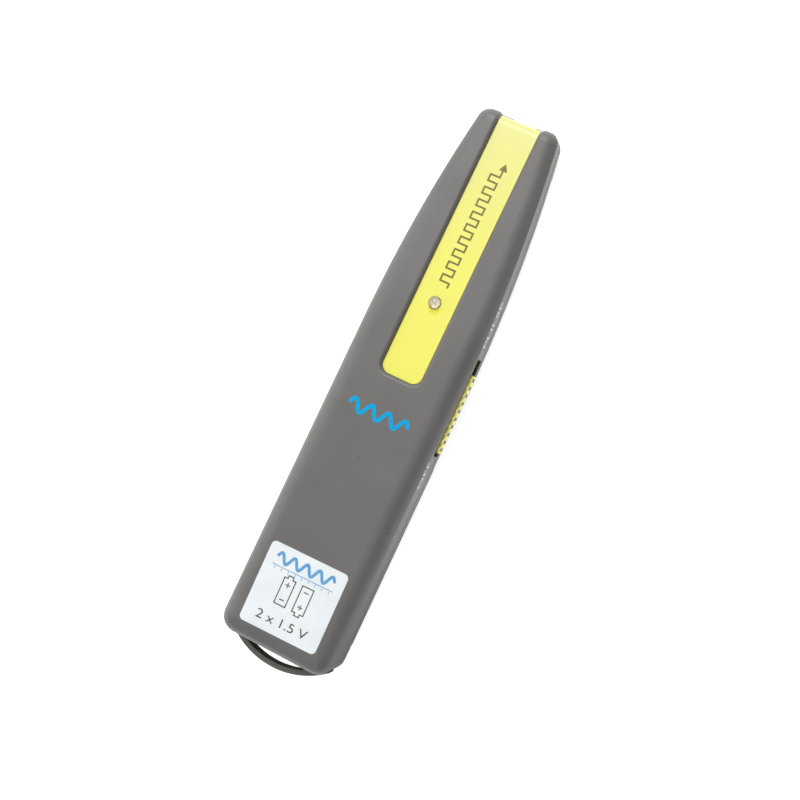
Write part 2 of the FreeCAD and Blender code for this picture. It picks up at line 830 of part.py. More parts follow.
def source_barrel():
    outer_r = barrel_diameter / 2
    mouth = spigot_diameter / 2 + turned_fit
    ledge = barrel_front - spigot_length - fit
    profile = [(outer_r, barrel_front), (outer_r, barrel_back), (barrel_bore / 2, barrel_back),
               (barrel_bore / 2, ledge - barrel_ledge), (barrel_ledge_bore / 2, ledge - barrel_ledge),
               (barrel_ledge_bore / 2, ledge), (mouth, ledge), (mouth, barrel_front)]
    return turned_y(profile, 0, port_height)


lens_radius = barrel_bore / 2 - turned_fit
lens_front = barrel_front - spigot_length - fit - barrel_ledge
lens_back = lens_front - lens_thickness - lens_crown
lens_ball = (lens_radius ** 2 + lens_crown ** 2) / (2 * lens_crown)


def focus_lens():
    ball = Part.makeSphere(lens_ball, V(0, lens_back + lens_ball, port_height))
    return rod_y(2 * lens_radius, lens_back - margin, lens_front, 0, port_height).common(ball)


def lens_spacer():
    # The spacer's inner edge bears on the domed back of the lens.
    inner = lens_radius - spacer_wall
    front = lens_back + lens_ball - math.sqrt(lens_ball ** 2 - inner ** 2)
    back = barrel_back + diode_base_thickness
    profile = [(inner, back), (lens_radius, back), (lens_radius, front), (inner, front)]
    return turned_y(profile, 0, port_height)


def laser_diode():
    radius = barrel_bore / 2 - turned_fit
    front = barrel_back + diode_base_thickness
    can = diode_can_diameter / 2
    return turned_y([(0, barrel_back), (radius, barrel_back), (radius, front), (can, front),
                     (can, front + diode_can_length), (0, front + diode_can_length)], 0, port_height)


def pin_spots():
    return [(s * pin_circle, port_height) for s in (-1, 1)]


def diode_pins():
    return Part.makeCompound([rod_y(pin_diameter, barrel_back - pin_length, barrel_back, x, z)
                              for x, z in pin_spots()])


def wire_path(points):
    # Straight runs joined by tangent arcs, each as large as its runs allow.
    spots = [V(*p) for p in points]
    edges = []
    start = spots[0]
    for a, b, c in zip(spots, spots[1:], spots[2:]):
        into, out = (a - b).normalize(), (c - b).normalize()
        reach = bend_share * min((a - b).Length, (c - b).Length)
        first, last = b + into * reach, b + out * reach
        turn = into.getAngle(out)
        radius = reach * math.tan(turn / 2)
        centre = b + (into + out).normalize() * (reach / math.cos(turn / 2))
        middle = centre + (b - centre).normalize() * radius
        edges.append(Part.LineSegment(start, first).toShape())
        edges.append(Part.Arc(first, middle, last).toShape())
        start = last
    edges.append(Part.LineSegment(start, spots[-1]).toShape())
    return Part.Wire(edges)


def source_wire(side):
    x = side * pin_circle
    start = barrel_back - pin_length
    rest = board_top + wire_diameter / 2 + turned_fit
    end = board_end - wire_lap
    over = board_end + wire_diameter
    away = x + side * wire_rise
    path = wire_path([(x, start, port_height), (x, (start + over) / 2, port_height), (away, over, rest),
                      (away, end, rest)])
    way = path.Edges[0].tangentAt(0)
    ring = Part.Wire(Part.makeCircle(wire_diameter / 2, V(x, start, port_height), way))
    return path.makePipeShell([ring], True, False)


def foot(side, gap, low):
    # The loop's foot lies in a notch of the tail wall. The closed housing traps the wider head behind it.
    x = side * (loop_half_span - loop_foot_inset)
    half = loop_foot / 2 + gap
    wide = half + loop_head
    high = parting_height + fit + loop_foot_height + gap
    inside = tail + wall + fit - gap
    stem = box(x - half, x + half, tail - margin, inside + touch, low, high)
    head = box(x - wide, x + wide, inside, inside + loop_head_length + 2 * gap, low, high)
    return joined([stem, head])


def strap_hollow():
    # Room for a cord between the tail and the loop.
    return box(-loop_relief_half, loop_relief_half, tail - margin, tail + loop_relief,
               loop_bottom - loop_relief_room, loop_top + loop_relief_room)


def strap_loop():
    radius = (loop_half_span ** 2 + loop_reach ** 2) / (2 * loop_reach)
    middle = tail - loop_reach + radius
    ring = Part.makeCylinder(radius, loop_top - loop_bottom, V(0, middle, loop_bottom))
    ring = ring.cut(Part.makeCylinder(radius - loop_thickness, body_thickness, V(0, middle, 0)))
    edges = [e for e in ring.Edges if e.BoundBox.ZLength < touch]
    ring = ring.makeFillet(loop_edge, edges)
    half = loop_half_span + loop_end
    bow = ring.common(box(-half, half, tail - body_width, tail + back_radius, -margin, body_thickness))
    bow = bow.cut(body_form(-turned_fit))
    bar = Part.makeCylinder(radius - loop_thickness / 2, body_thickness, V(0, middle, 0))
    feet = [foot(s, 0, parting_height + fit).common(bar) for s in (-1, 1)]
    return joined([bow] + feet)


def front_label():
    half_x, half_y = label_width / 2, label_length / 2
    y = tail + label_from_tail
    plate = box(-half_x, half_x, -half_y, half_y, 0, label_thickness)
    plate = plate.makeFillet(label_corner, [e for e in plate.Edges if e.BoundBox.ZLength > touch])
    plate.rotate(V(0, 0, 0), V(0, 0, 1), label_turn)
    plate.rotate(V(0, 0, 0), V(1, 0, 0), -math.degrees(front_lean))
    plate.translate(V(0, y, front_at(y, 0)))
    return plate


nodes = {
    "front_shell": front_shell(),
    "back_shell": back_shell(),
    "battery_cover": battery_cover(),
    "accent_strip": accent_strip(),
    "indicator_led": indicator_led(),
    "led_leads": led_leads(),
    "switch_knob": switch_knob(),
    "switch_body": switch_body(),
    "switch_lever": switch_lever(),
    "switch_pins": switch_pins(),
    "circuit_board": circuit_board(),
    "driver_chip": driver_chip(),
    "chip_pins": chip_pins(),
    "resistors": resistors(),
    "capacitor": capacitor(),
    "battery_cell_left": battery_cell(-1),
    "battery_cell_right": battery_cell(1),
    "positive_contact": positive_contact(),
    "negative_contact": negative_contact(),
    "bridge_contact": bridge_contact(),
    "housing_screws": housing_screws(),
    "port_adapter": port_adapter(),
    "ferrule_sleeve": ferrule_sleeve(),
    "source_barrel": source_barrel(),
    "focus_lens": focus_lens(),
    "lens_spacer": lens_spacer(),
    "laser_diode": laser_diode(),
    "diode_pins": diode_pins(),
    "positive_wire": source_wire(1),
    "negative_wire": source_wire(-1),
    "strap_loop": strap_loop(),
    "front_label": front_label(),
}
os.makedirs("parts", exist_ok=True)
for name, shape in nodes.items():
    shape.exportStep("parts/" + name + ".step")
    print(name, "solids", len(shape.Solids), "valid", shape.isValid(), "volume", round(shape.Volume, 2))
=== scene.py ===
import bpy
import bmesh
import json
import math
from mathutils import Matrix, Vector


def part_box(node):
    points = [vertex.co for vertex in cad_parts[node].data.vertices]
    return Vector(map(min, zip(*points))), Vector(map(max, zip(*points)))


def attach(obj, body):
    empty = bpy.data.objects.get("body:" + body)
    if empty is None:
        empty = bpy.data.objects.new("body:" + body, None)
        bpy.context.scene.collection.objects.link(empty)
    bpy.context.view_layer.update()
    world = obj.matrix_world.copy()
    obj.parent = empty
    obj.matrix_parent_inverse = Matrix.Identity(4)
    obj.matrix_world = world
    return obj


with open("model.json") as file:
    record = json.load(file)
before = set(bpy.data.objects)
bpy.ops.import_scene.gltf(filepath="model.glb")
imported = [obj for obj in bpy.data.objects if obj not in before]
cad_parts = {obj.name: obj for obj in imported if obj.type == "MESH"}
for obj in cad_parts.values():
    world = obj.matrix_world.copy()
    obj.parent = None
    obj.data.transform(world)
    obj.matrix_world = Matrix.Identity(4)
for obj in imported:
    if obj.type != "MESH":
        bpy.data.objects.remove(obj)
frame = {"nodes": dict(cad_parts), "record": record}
nodes = frame["nodes"]
bpy.context.view_layer.update()
mm = 0.001
print("frame loaded:", len(nodes), "nodes")


def linear(code):  # sRGB hex to linear colour
    parts = [int(code[i:i + 2], 16) / 255 for i in (1, 3, 5)]
    return tuple(c / 12.92 if c <= 0.04045 else ((c + 0.055) / 1.055) ** 2.4 for c in parts) + (1.0,)


def addNode(tree, kind, inputs=(), stops=(), **settings):  # with its settings, values, links and ramp stops
    node = tree.nodes.new("ShaderNode" + kind)
    for key, value in settings.items():
        setattr(node, key, value)
    for key, value in dict(inputs).items():
        if isinstance(value, bpy.types.NodeSocket):
            tree.links.new(value, node.inputs[key])
        else:
            node.inputs[key].default_value = value
    for i, (place, shade) in enumerate(stops):
        ramp = node.color_ramp.elements
        stop = ramp[i] if i < 2 else ramp.new(place)
        stop.position = place
        stop.color = linear(shade)
    return node


def newMaterial(name, **values):  # comes with its tree, its surface shader and its Object coordinates
    material = bpy.data.materials.new(name)
    material.use_nodes = True
    tree = material.node_tree
    tree.nodes.clear()
    shader = addNode(tree, "BsdfPrincipled", {key.replace("_", " "): value for key, value in values.items()})
    addNode(tree, "OutputMaterial", {"Surface": shader.outputs["BSDF"]})
    return material, tree, shader, addNode(tree, "TexCoord").outputs["Object"]


def link(tree, output, shader, name):
    tree.links.new(output, shader.inputs[name])


def dress(names, material):  # these CAD nodes take this material
    for name in names:
        nodes[name].data.materials.clear()
        nodes[name].data.materials.append(material)


def newPiece(name, mesh, material, body):  # a finished mesh becomes a piece that rides on a body
    piece = bpy.data.objects.new(name, mesh)
    bpy.context.scene.collection.objects.link(piece)
    mesh.materials.clear()
    mesh.materials.append(material)
    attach(piece, body)


def meshOf(piece):  # a text, curve or modified mesh as a plain mesh of its own
    bpy.context.scene.collection.objects.link(piece)
    bpy.context.view_layer.update()
    mesh = bpy.data.meshes.new_from_object(piece.evaluated_get(bpy.context.evaluated_depsgraph_get()))
    bpy.data.objects.remove(piece)
    return mesh


def bmeshOut(bm, name):
    mesh = bpy.data.meshes.new(name)
    bm.to_mesh(mesh)
    bm.free()
    return mesh


noiseSpan = (0.3, 0.7)  # nearly all of a cloudy noise lies between these
tightSpan = (0.4, 0.6)  # for a quicker change of shade

# Housing: ABS moulded in a spark-eroded tool. It is a satin grey with a faint drift and a few dust specks.
# Its sides get painted shade, darker towards the tail, and they are rougher there. The grain is drawn coarser
# than the real one, so that it shows.
housing = {"dark": "#666562", "light": "#6c6b69", "drift": 16.0, "roughness": (0.43, 0.52),
           "grain": 0.45, "grainDepth": 0.012, "speck": "#4b4a48", "speckSpread": 7.5, "speckSize": 0.2,
           "tailSideShade": "#5a5956", "tailSideRough": 0.8, "towardTail": (-22.0, -68.0), "sides": (0.45, 0.15)}


def housingAbs():
    material, tree, shader, place = newMaterial("absMouldedGrey", IOR=1.5)
    drift = addNode(tree, "TexNoise", {"Vector": place, "Scale": 1 / (housing["drift"] * mm), "Detail": 3.0})
    shade = addNode(tree, "ValToRGB", {"Fac": drift.outputs["Fac"]},
                    zip(noiseSpan, (housing["dark"], housing["light"])))
    dots = addNode(tree, "TexVoronoi", {"Vector": place, "Scale": 1 / (housing["speckSpread"] * mm)})
    dotShare = housing["speckSize"] / housing["speckSpread"]
    near = addNode(tree, "Math", {0: dots.outputs["Distance"], 1: dotShare}, operation="LESS_THAN")
    mixed = addNode(tree, "Mix", {"Factor": near.outputs[0], "A": shade.outputs["Color"],
                                  "B": linear(housing["speck"])}, data_type="RGBA")
    along = addNode(tree, "SeparateXYZ", {0: place}).outputs["Y"]
    facing = addNode(tree, "SeparateXYZ", {0: addNode(tree, "NewGeometry").outputs["Normal"]}).outputs["Z"]
    level = addNode(tree, "Math", {0: facing}, operation="ABSOLUTE").outputs[0]
    side = addNode(tree, "MapRange", {"Value": level, "From Min": housing["sides"][0],
                                      "From Max": housing["sides"][1]}).outputs["Result"]
    towardTail = addNode(tree, "MapRange", {"Value": along, "From Min": housing["towardTail"][0] * mm,
                                      "From Max": housing["towardTail"][1] * mm}).outputs["Result"]
    # painted shade: the sides are darkened towards the tail
    tailSideShade = addNode(tree, "Math", {0: side, 1: towardTail}, operation="MULTIPLY").outputs[0]
    paintedLight = addNode(tree, "Mix", {"Factor": tailSideShade, "A": mixed.outputs["Result"], "B": linear(housing["tailSideShade"])},
                   data_type="RGBA")
    link(tree, paintedLight.outputs["Result"], shader, "Base Color")
    grain = addNode(tree, "TexNoise", {"Vector": place, "Scale": 1 / (housing["grain"] * mm), "Detail": 2.0})
    rough = addNode(tree, "MapRange", {"Value": grain.outputs["Fac"], "To Min": housing["roughness"][0],
                                       "To Max": housing["roughness"][1]})
    dull = addNode(tree, "MapRange", {"Value": tailSideShade, "To Min": rough.outputs["Result"],
                                      "To Max": housing["tailSideRough"]})
    link(tree, dull.outputs["Result"], shader, "Roughness")
    bump = addNode(tree, "Bump", {"Height": grain.outputs["Fac"], "Distance": housing["grainDepth"] * mm})
    link(tree, bump.outputs["Normal"], shader, "Normal")
    return material


dress(["front_shell", "back_shell", "battery_cover"], housingAbs())


# Smooth mouldings: a slow drift of shade from the melt, and a fine skin with the gloss of the tool's polish.
mouldings = {
    "phenolicMouldedBlack": {"nodes": ["switch_body"], "dark": "#131415", "light": "#1b1c1d", "rough": 0.5,
                             "drift": 3.0, "grain": 0.25, "depth": 0.01},
    "acetalMouldedWhite": {"nodes": ["switch_lever"], "dark": "#dcdad0", "light": "#e6e4db", "rough": 0.35,
                           "drift": 4.0, "grain": 0.3, "depth": 0.005},
    "zirconiaGround": {"nodes": ["ferrule_sleeve"], "dark": "#e2e0d8", "light": "#efede6", "rough": 0.15,
                       "drift": 3.0, "grain": 0.12, "depth": 0.002},
    "pvcExtrudedRed": {"nodes": ["positive_wire"], "dark": "#8f1c17", "light": "#a8241d", "rough": 0.4,
                       "drift": 3.0, "grain": 0.25, "depth": 0.006},
    "pvcExtrudedBlack": {"nodes": ["negative_wire"], "dark": "#131313", "light": "#1d1d1d", "rough": 0.4,
                         "drift": 3.0, "grain": 0.25, "depth": 0.006},
}


def mouldedPlastic(name, look):
    material, tree, shader, place = newMaterial(name, Roughness=look["rough"], IOR=1.5)
    drift = addNode(tree, "TexNoise", {"Vector": place, "Scale": 1 / (look["drift"] * mm), "Detail": 3.0})
    shade = addNode(tree, "ValToRGB", {"Fac": drift.outputs["Fac"]},
                    zip(noiseSpan, (look["dark"], look["light"])))
    link(tree, shade.outputs["Color"], shader, "Base Color")
    grain = addNode(tree, "TexNoise", {"Vector": place, "Scale": 1 / (look["grain"] * mm), "Detail": 2.0})
    bump = addNode(tree, "Bump", {"Height": grain.outputs["Fac"], "Distance": look["depth"] * mm})
    link(tree, bump.outputs["Normal"], shader, "Normal")
    return material


for name, look in mouldings.items():
    dress(look["nodes"], mouldedPlastic(name, look))


# Inlay: ABS from a polished tool. It is a clear yellow at its round end, with painted light that makes it
# paler towards the nose, and a painted shadow of deeper yellow beside the lamp.
inlay = {"stops": ((0.0, "#f0ec67"), (0.45, "#ece968"), (0.75, "#e2df75"), (0.95, "#dddb7c"),
                   (1.0, "#dddb8a")),
         "cloud": 22.0, "cloudShare": 0.05, "rough": 0.3, "grain": 0.6, "grainDepth": 0.004,
         "lampShadow": "#e8e33c", "lampShadowPlace": (0.6, -1.3), "lampShadowRadius": (1.75, 1.25)}


def noseLitInlay():
    material, tree, shader, place = newMaterial("absPolishedYellow", Roughness=inlay["rough"], IOR=1.5)
    low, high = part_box("accent_strip")
    along = addNode(tree, "SeparateXYZ", {0: place}).outputs["Y"]
    # painted light: the yellow turns paler towards the nose
    share = addNode(tree, "MapRange", {"Value": along, "From Min": low[1],
                                       "From Max": high[1]}).outputs["Result"]
    cloud = addNode(tree, "TexNoise", {"Vector": place, "Scale": 1 / (inlay["cloud"] * mm), "Detail": 3.0})
    noseLight = addNode(tree, "Math", {0: cloud.outputs["Fac"], 1: inlay["cloudShare"], 2: share},
                    operation="MULTIPLY_ADD")
    shade = addNode(tree, "ValToRGB", {"Fac": noseLight.outputs[0]}, inlay["stops"])
    # painted shadow of the lamp: a deeper yellow just beside it
    lampLow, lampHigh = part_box("indicator_led")
    spot = [(lampLow[i] + lampHigh[i]) / 2 + inlay["lampShadowPlace"][i] * mm for i in (0, 1)] + [0]
    level = addNode(tree, "Mapping", {"Vector": place, "Scale": (1, 1, 0)}).outputs["Vector"]
    away = addNode(tree, "VectorMath", {0: level, 1: spot}, operation="DISTANCE").outputs["Value"]
    lampShadow = addNode(tree, "MapRange", {"Value": away, "From Min": inlay["lampShadowRadius"][0] * mm,
                                       "From Max": inlay["lampShadowRadius"][1] * mm}).outputs["Result"]
    mixed = addNode(tree, "Mix", {"Factor": lampShadow, "A": shade.outputs["Color"],
                                  "B": linear(inlay["lampShadow"])}, data_type="RGBA")
    link(tree, mixed.outputs["Result"], shader, "Base Color")
    grain = addNode(tree, "TexNoise", {"Vector": place, "Scale": 1 / (inlay["grain"] * mm), "Detail": 2.0})
    bump = addNode(tree, "Bump", {"Height": grain.outputs["Fac"], "Distance": inlay["grainDepth"] * mm})
    link(tree, bump.outputs["Normal"], shader, "Normal")
    return material


dress(["accent_strip"], noseLitInlay())


# Slide knob: ABS in the inlay's yellow. A painted highlight makes the rib tips pale, painted shade darkens
# the grooves, and a painted shadow darkens the groove feet.
knob = {"root": "#e2d948", "rib": "#f9f69c", "grooveShadow": "#2c2a18", "foot": (9.6, 8.6), "paintedLight": 0.12,
        "depth": 0.5, "rough": 0.45, "grain": 0.4, "grainDepth": 0.012}


def ribbedKnob():
    material, tree, shader, place = newMaterial("absRibbedYellow", Roughness=knob["rough"], IOR=1.5)
    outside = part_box("switch_knob")[1][0]
    parts = addNode(tree, "SeparateXYZ", {0: place}).outputs
    grain = addNode(tree, "TexNoise", {"Vector": place, "Scale": 1 / (knob["grain"] * mm), "Detail": 3.0})
    uneven = addNode(tree, "Math", {0: grain.outputs["Fac"], 1: knob["paintedLight"] * mm, 2: parts["X"]},
                     operation="MULTIPLY_ADD")
    # painted highlight on the rib tips, painted shade towards the groove floors
    high = addNode(tree, "MapRange", {"Value": uneven.outputs[0], "From Min": outside - knob["depth"] * mm,
                                      "From Max": outside - knob["paintedLight"] * mm})
    shade = addNode(tree, "ValToRGB", {"Fac": high.outputs["Result"]},
                    [(0.0, knob["root"]), (1.0, knob["rib"])])
    # painted shadow at the feet of the grooves
    foot = addNode(tree, "MapRange", {"Value": parts["Z"], "From Min": knob["foot"][0] * mm,
                                      "From Max": knob["foot"][1] * mm})
    low = addNode(tree, "Math", {0: 1.0, 1: high.outputs["Result"]}, operation="SUBTRACT")
    grooveShadowMask = addNode(tree, "Math", {0: foot.outputs["Result"], 1: low.outputs[0]}, operation="MULTIPLY")
    mixed = addNode(tree, "Mix", {"Factor": grooveShadowMask.outputs[0], "A": shade.outputs["Color"],
                                  "B": linear(knob["grooveShadow"])}, data_type="RGBA")
    link(tree, mixed.outputs["Result"], shader, "Base Color")
    bump = addNode(tree, "Bump", {"Height": grain.outputs["Fac"], "Distance": knob["grainDepth"] * mm})
    link(tree, bump.outputs["Normal"], shader, "Normal")
    return material


dress(["switch_knob"], ribbedKnob())


# Strap loop: moulded black nylon. Its upward faces get a painted highlight of dull grey, and the rest stays
# near black.
loop = {"base": "#0a0a08", "paintedTopLight": "#7a7a74", "from": 0.6, "to": 1.2, "patch": 1.6, "rough": 0.7,
        "gloss": 0.08, "grain": 0.35, "depth": 0.02}


def rubbedNylon():
    material, tree, shader, place = newMaterial("nylonMouldedBlack", Roughness=loop["rough"],
                                                Specular_IOR_Level=loop["gloss"])
    # painted highlight: faces that point up are painted lighter
    facing = addNode(tree, "SeparateXYZ", {0: addNode(tree, "NewGeometry").outputs["Normal"]}).outputs["Z"]
    patch = addNode(tree, "TexNoise", {"Vector": place, "Scale": 1 / (loop["patch"] * mm), "Detail": 4.0})
    uneven = addNode(tree, "Math", {0: facing, 1: patch.outputs["Fac"]})
    top = addNode(tree, "MapRange", {"Value": uneven.outputs[0], "From Min": loop["from"],
                                     "From Max": loop["to"]})
    shade = addNode(tree, "ValToRGB", {"Fac": top.outputs["Result"]},
                    [(0.0, loop["base"]), (1.0, loop["paintedTopLight"])])
    link(tree, shade.outputs["Color"], shader, "Base Color")
    grain = addNode(tree, "TexNoise", {"Vector": place, "Scale": 1 / (loop["grain"] * mm), "Detail": 2.0})
    bump = addNode(tree, "Bump", {"Height": grain.outputs["Fac"], "Distance": loop["depth"] * mm})
    link(tree, bump.outputs["Normal"], shader, "Normal")
    return material


dress(["strap_loop"], rubbedNylon())


# Plated and turned metals: fine tool lines, round the port's axis and along it, that streak the highlight.
# They are drawn coarser than real ones, so that they show.
toolMarks = {"depth": 0.004, "waver": 0.4, "film": 2.5, "roughSpread": (-0.06, 0.08), "tarnish": 0.82}
portAxis = frame["record"]["mounts"][0]["pos_m"]
metals = {
    "brassNickelPlated": {"nodes": ["port_adapter"], "shade": "#cfcdc7", "rough": 0.2, "pitch": 0.22},
    "brassTurned": {"nodes": ["source_barrel", "lens_spacer"], "shade": "#c39a48", "rough": 0.28,
                    "pitch": 0.3},
    "steelGoldPlated": {"nodes": ["laser_diode"], "shade": "#d0a850", "rough": 0.2, "pitch": 0.25},
    "copperTinned": {"nodes": ["led_leads", "switch_pins", "chip_pins", "diode_pins"], "shade": "#c9c9c6",
                     "rough": 0.32, "pitch": 0.4},
    "steelNickelPlated": {"nodes": ["positive_contact", "negative_contact", "bridge_contact"],
                          "shade": "#c4c2bb", "rough": 0.25, "pitch": 0.35},
    "steelZincPlated": {"nodes": ["housing_screws"], "shade": "#a9abae", "rough": 0.36, "pitch": 0.3},
}


def workedMetal(name, look):
    material, tree, shader, place = newMaterial(name, Metallic=1.0)
    centred = addNode(tree, "Mapping", {"Vector": place, "Location": (0, 0, -portAxis[2])}).outputs["Vector"]
    scale = math.pi / 10 / (look["pitch"] * mm)  # a wave texture repeats every pi / 10 over its scale
    marks = {"Vector": centred, "Scale": scale, "Distortion": toolMarks["waver"]}
    rings = addNode(tree, "TexWave", marks, wave_type="RINGS", rings_direction="Y")
    lines = addNode(tree, "TexWave", marks, bands_direction="Y")
    both = addNode(tree, "Math", {0: rings.outputs["Fac"], 1: lines.outputs["Fac"]})
    bump = addNode(tree, "Bump", {"Height": both.outputs[0], "Distance": toolMarks["depth"] * mm})
    link(tree, bump.outputs["Normal"], shader, "Normal")
    film = addNode(tree, "TexNoise", {"Vector": place, "Scale": 1 / (toolMarks["film"] * mm), "Detail": 3.0})
    low, high = (look["rough"] + part for part in toolMarks["roughSpread"])
    rough = addNode(tree, "MapRange", {"Value": film.outputs["Fac"], "To Min": low, "To Max": high})
    link(tree, rough.outputs["Result"], shader, "Roughness")
    shade = linear(look["shade"])
    dim = tuple(toolMarks["tarnish"] * part for part in shade[:3]) + (1.0,)
    tint = addNode(tree, "Mix", {"Factor": film.outputs["Fac"], "A": shade, "B": dim}, data_type="RGBA")
    link(tree, tint.outputs["Result"], shader, "Base Color")
    return material


for name, look in metals.items():
    dress(look["nodes"], workedMetal(name, look))


# Circuit board: glass laminate under green solder mask. The tracks show as paler lines, the sawn edge is tan.
board = {"mask": "#154526", "maskPale": "#1a5230", "track": "#2f7444", "edge": "#b49a5e", "rowPitch": 1.27,
         "runLength": 7.5, "trackWidth": 0.3, "trackRise": 0.03, "rough": 0.28, "flatFrom": 0.5}


def boardLaminate():
    material, tree, shader, place = newMaterial("glassLaminateMasked", Roughness=board["rough"], IOR=1.5)
    tracks = addNode(tree, "TexBrick", {"Vector": place, "Color1": linear(board["mask"]),
                                        "Color2": linear(board["maskPale"]), "Mortar": linear(board["track"]),
                                        "Scale": 1 / mm, "Mortar Size": board["trackWidth"] / 2,
                                        "Brick Width": board["runLength"], "Row Height": board["rowPitch"]})
    facing = addNode(tree, "SeparateXYZ", {0: addNode(tree, "NewGeometry").outputs["Normal"]})
    level = addNode(tree, "Math", {0: facing.outputs["Z"]}, operation="ABSOLUTE")
    flat = addNode(tree, "Math", {0: level.outputs[0], 1: board["flatFrom"]}, operation="GREATER_THAN")
    mixed = addNode(tree, "Mix", {"Factor": flat.outputs[0], "A": linear(board["edge"]),
                                  "B": tracks.outputs["Color"]}, data_type="RGBA")
    link(tree, mixed.outputs["Result"], shader, "Base Color")
    bump = addNode(tree, "Bump", {"Height": tracks.outputs["Fac"], "Distance": board["trackRise"] * mm})
    link(tree, bump.outputs["Normal"], shader, "Normal")
    return material


dress(["circuit_board"], boardLaminate())


# Chip and resistors: black resin with a dull, pitted skin. The resistors' two ends are tinned.
smallParts = {"resin": "#17181a", "resinPale": "#212224", "resinRough": 0.6, "pit": 0.2, "pitDepth": 0.01,
              "tin": "#c6c6c2", "tinRough": 0.3, "capLength": 0.4}


def mouldedResin(name, ends):
    material, tree, shader, place = newMaterial(name, IOR=1.5)
    pits = addNode(tree, "TexNoise", {"Vector": place, "Scale": 1 / (smallParts["pit"] * mm), "Detail": 3.0})
    shade = addNode(tree, "ValToRGB", {"Fac": pits.outputs["Fac"]},
                    zip(noiseSpan, (smallParts["resin"], smallParts["resinPale"])))
    bump = addNode(tree, "Bump", {"Height": pits.outputs["Fac"], "Distance": smallParts["pitDepth"] * mm})
    link(tree, bump.outputs["Normal"], shader, "Normal")
    if not ends:
        link(tree, shade.outputs["Color"], shader, "Base Color")
        shader.inputs["Roughness"].default_value = smallParts["resinRough"]
        return material
    middle = (ends[0] + ends[1]) / 2
    capStart = (ends[1] - ends[0]) / 2 - smallParts["capLength"] * mm
    across = addNode(tree, "SeparateXYZ", {0: place}).outputs["X"]
    centred = addNode(tree, "Math", {0: across, 1: middle}, operation="SUBTRACT")
    away = addNode(tree, "Math", {0: centred.outputs[0]}, operation="ABSOLUTE")
    cap = addNode(tree, "Math", {0: away.outputs[0], 1: capStart}, operation="GREATER_THAN").outputs[0]
    mixed = addNode(tree, "Mix", {"Factor": cap, "A": shade.outputs["Color"], "B": linear(smallParts["tin"])},
                    data_type="RGBA")
    link(tree, mixed.outputs["Result"], shader, "Base Color")
    link(tree, cap, shader, "Metallic")
    rough = addNode(tree, "MapRange", {"Value": cap, "To Min": smallParts["resinRough"],
                                       "To Max": smallParts["tinRough"]})
    link(tree, rough.outputs["Result"], shader, "Roughness")
    return material


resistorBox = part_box("resistors")
dress(["driver_chip"], mouldedResin("epoxyMouldedBlack", None))
dress(["resistors"], mouldedResin("ceramicTinnedEnds", (resistorBox[0][0], resistorBox[1][0])))


# Capacitor: a drawn aluminium can with a shrunk film sleeve that leaves the top bare.
can = {"sleeve": "#1b2740", "bare": "#c4c6c9", "stripe": "#b9bec6", "stripeTurn": 2.2, "topFrom": 0.7,
       "film": 0.8, "rough": (0.22, 0.38)}


def sleevedCan():
    low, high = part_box("capacitor")
    middle = [(a + b) / 2 for a, b in zip(low, high)]
    material, tree, shader, place = newMaterial("aluminiumCanSleeved")
    centred = addNode(tree, "Mapping", {"Vector": place, "Location": (-middle[0], -middle[1], 0)})
    parts = addNode(tree, "SeparateXYZ", {0: centred.outputs["Vector"]})
    turn = addNode(tree, "Math", {0: parts.outputs["Y"], 1: parts.outputs["X"]}, operation="ARCTAN2")
    band = addNode(tree, "Math", {0: turn.outputs[0], 1: can["stripeTurn"]}, operation="GREATER_THAN")
    sleeve = addNode(tree, "Mix", {"Factor": band.outputs[0], "A": linear(can["sleeve"]),
                                   "B": linear(can["stripe"])}, data_type="RGBA")
    facing = addNode(tree, "SeparateXYZ", {0: addNode(tree, "NewGeometry").outputs["Normal"]})
    top = addNode(tree, "Math", {0: facing.outputs["Z"], 1: can["topFrom"]}, operation="GREATER_THAN")
    mixed = addNode(tree, "Mix", {"Factor": top.outputs[0], "A": sleeve.outputs["Result"],
                                  "B": linear(can["bare"])}, data_type="RGBA")
    link(tree, mixed.outputs["Result"], shader, "Base Color")
    link(tree, top.outputs[0], shader, "Metallic")
    film = addNode(tree, "TexNoise", {"Vector": place, "Scale": 1 / (can["film"] * mm)})
    rough = addNode(tree, "MapRange", {"Value": film.outputs["Fac"], "To Min": can["rough"][0],
                                       "To Max": can["rough"][1]})
    link(tree, rough.outputs["Result"], shader, "Roughness")
    return material


dress(["capacitor"], sleevedCan())


# Cells: a steel can in a printed shrink film. Bare metal shows at the nub and at the flat end.
cells = {"body": "#24313f", "band": "#b9c2c9", "line": "#3f6f9c", "steel": "#b7b5ae",
         "nub": 0.028, "bandEnd": 0.2, "lineEnd": 0.225, "foot": 0.985,  # shares of the length, from the nub
         "wrinkle": 1.5, "wrinkleDepth": 0.01, "rough": (0.2, 0.34)}


